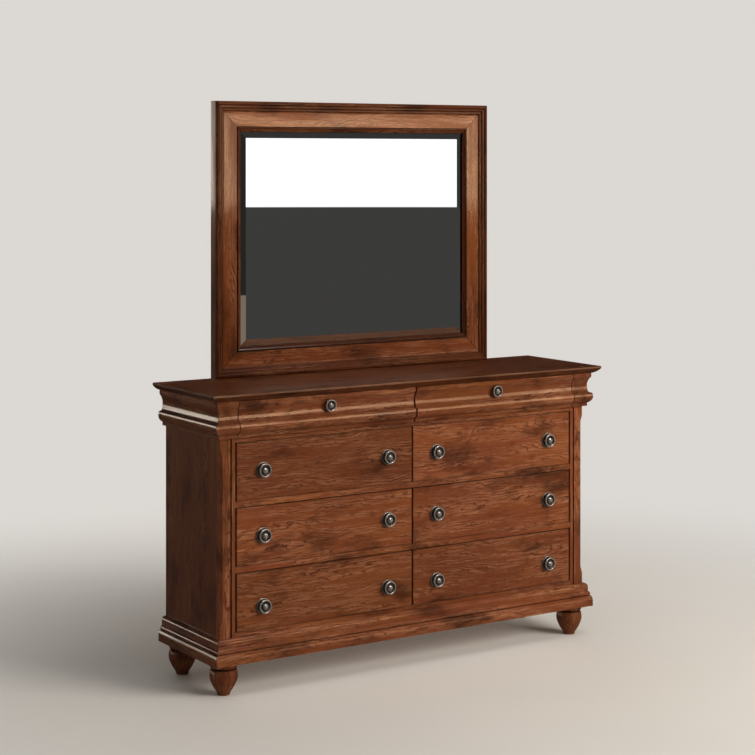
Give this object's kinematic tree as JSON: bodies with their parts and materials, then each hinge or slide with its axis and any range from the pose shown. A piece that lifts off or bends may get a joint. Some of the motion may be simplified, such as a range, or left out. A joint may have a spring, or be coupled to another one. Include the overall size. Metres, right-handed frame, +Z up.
{
  "type": "dresser with mirror",
  "caption": "Wide double dresser with moulded cornice drawers, plain drawer rows, turned feet and a large framed mirror standing on its top.",
  "frame": {"origin": "on the floor, under the middle of the overall box (mirror supports included)", "axes": "+Z up; the drawers face -Y; +X to the right seen from the front"},
  "size_m": [1.5692, 0.449, 1.904],
  "materials": {
    "cherry_stain": "satin lacquer over reddish brown distressed stain",
    "plain_wood": "unfinished inner wood",
    "drawer_wood": "clear sealed light wood",
    "backing_board": "thin brown board",
    "dark_pewter": "antique dark metal, rubbed bright on the high parts",
    "slide_steel": "zinc plated",
    "mirror_glass": "silvered, wide bevel"
  },
  "bodies": {
    "case": {"back_panel": "backing_board", "back_rail": "plain_wood", "base_front": "cherry_stain", "base_left": "cherry_stain", "base_right": "cherry_stain", "bottom_panel": "plain_wood", "bottom_rail": "cherry_stain", "case_slides": "slide_steel", "centre_partition": "plain_wood", "corner_blocks": "plain_wood", "cornice_left": "cherry_stain", "cornice_right": "cherry_stain", "drawer_rails": "cherry_stain", "feet": "cherry_stain", "front_post_left": "cherry_stain", "front_post_right": "cherry_stain", "mirror_backing": "backing_board", "mirror_frame_bottom": "cherry_stain", "mirror_frame_left": "cherry_stain", "mirror_frame_right": "cherry_stain", "mirror_frame_top": "cherry_stain", "mirror_glass": "mirror_glass", "mirror_supports": "plain_wood", "side_panel_left": "cherry_stain", "side_panel_right": "cherry_stain", "slide_battens": "plain_wood", "top_rail": "cherry_stain", "top_slab": "cherry_stain"},
    "drawer_top_left": {"drawer_top_left_box": "drawer_wood", "drawer_top_left_front": "cherry_stain", "drawer_top_left_knob": "dark_pewter", "drawer_top_left_slides": "slide_steel"},
    "drawer_top_right": {"drawer_top_right_box": "drawer_wood", "drawer_top_right_front": "cherry_stain", "drawer_top_right_knob": "dark_pewter", "drawer_top_right_slides": "slide_steel"},
    "drawer_upper_left": {"drawer_upper_left_box": "drawer_wood", "drawer_upper_left_front": "cherry_stain", "drawer_upper_left_knobs": "dark_pewter", "drawer_upper_left_slides": "slide_steel"},
    "drawer_upper_right": {"drawer_upper_right_box": "drawer_wood", "drawer_upper_right_front": "cherry_stain", "drawer_upper_right_knobs": "dark_pewter", "drawer_upper_right_slides": "slide_steel"},
    "drawer_middle_left": {"drawer_middle_left_box": "drawer_wood", "drawer_middle_left_front": "cherry_stain", "drawer_middle_left_knobs": "dark_pewter", "drawer_middle_left_slides": "slide_steel"},
    "drawer_middle_right": {"drawer_middle_right_box": "drawer_wood", "drawer_middle_right_front": "cherry_stain", "drawer_middle_right_knobs": "dark_pewter", "drawer_middle_right_slides": "slide_steel"},
    "drawer_lower_left": {"drawer_lower_left_box": "drawer_wood", "drawer_lower_left_front": "cherry_stain", "drawer_lower_left_knobs": "dark_pewter", "drawer_lower_left_slides": "slide_steel"},
    "drawer_lower_right": {"drawer_lower_right_box": "drawer_wood", "drawer_lower_right_front": "cherry_stain", "drawer_lower_right_knobs": "dark_pewter", "drawer_lower_right_slides": "slide_steel"}
  },
  "joints": [
    {"name": "drawer_top_left_slide", "type": "slide", "parent": "case", "child": "drawer_top_left", "axis": [0, -1, 0], "range_m": [0, 0.26]},
    {"name": "drawer_top_right_slide", "type": "slide", "parent": "case", "child": "drawer_top_right", "axis": [0, -1, 0], "range_m": [0, 0.26]},
    {"name": "drawer_upper_left_slide", "type": "slide", "parent": "case", "child": "drawer_upper_left", "axis": [0, -1, 0], "range_m": [0, 0.26]},
    {"name": "drawer_upper_right_slide", "type": "slide", "parent": "case", "child": "drawer_upper_right", "axis": [0, -1, 0], "range_m": [0, 0.26]},
    {"name": "drawer_middle_left_slide", "type": "slide", "parent": "case", "child": "drawer_middle_left", "axis": [0, -1, 0], "range_m": [0, 0.26]},
    {"name": "drawer_middle_right_slide", "type": "slide", "parent": "case", "child": "drawer_middle_right", "axis": [0, -1, 0], "range_m": [0, 0.26]},
    {"name": "drawer_lower_left_slide", "type": "slide", "parent": "case", "child": "drawer_lower_left", "axis": [0, -1, 0], "range_m": [0, 0.26]},
    {"name": "drawer_lower_right_slide", "type": "slide", "parent": "case", "child": "drawer_lower_right", "axis": [0, -1, 0], "range_m": [0, 0.26]}
  ]
}
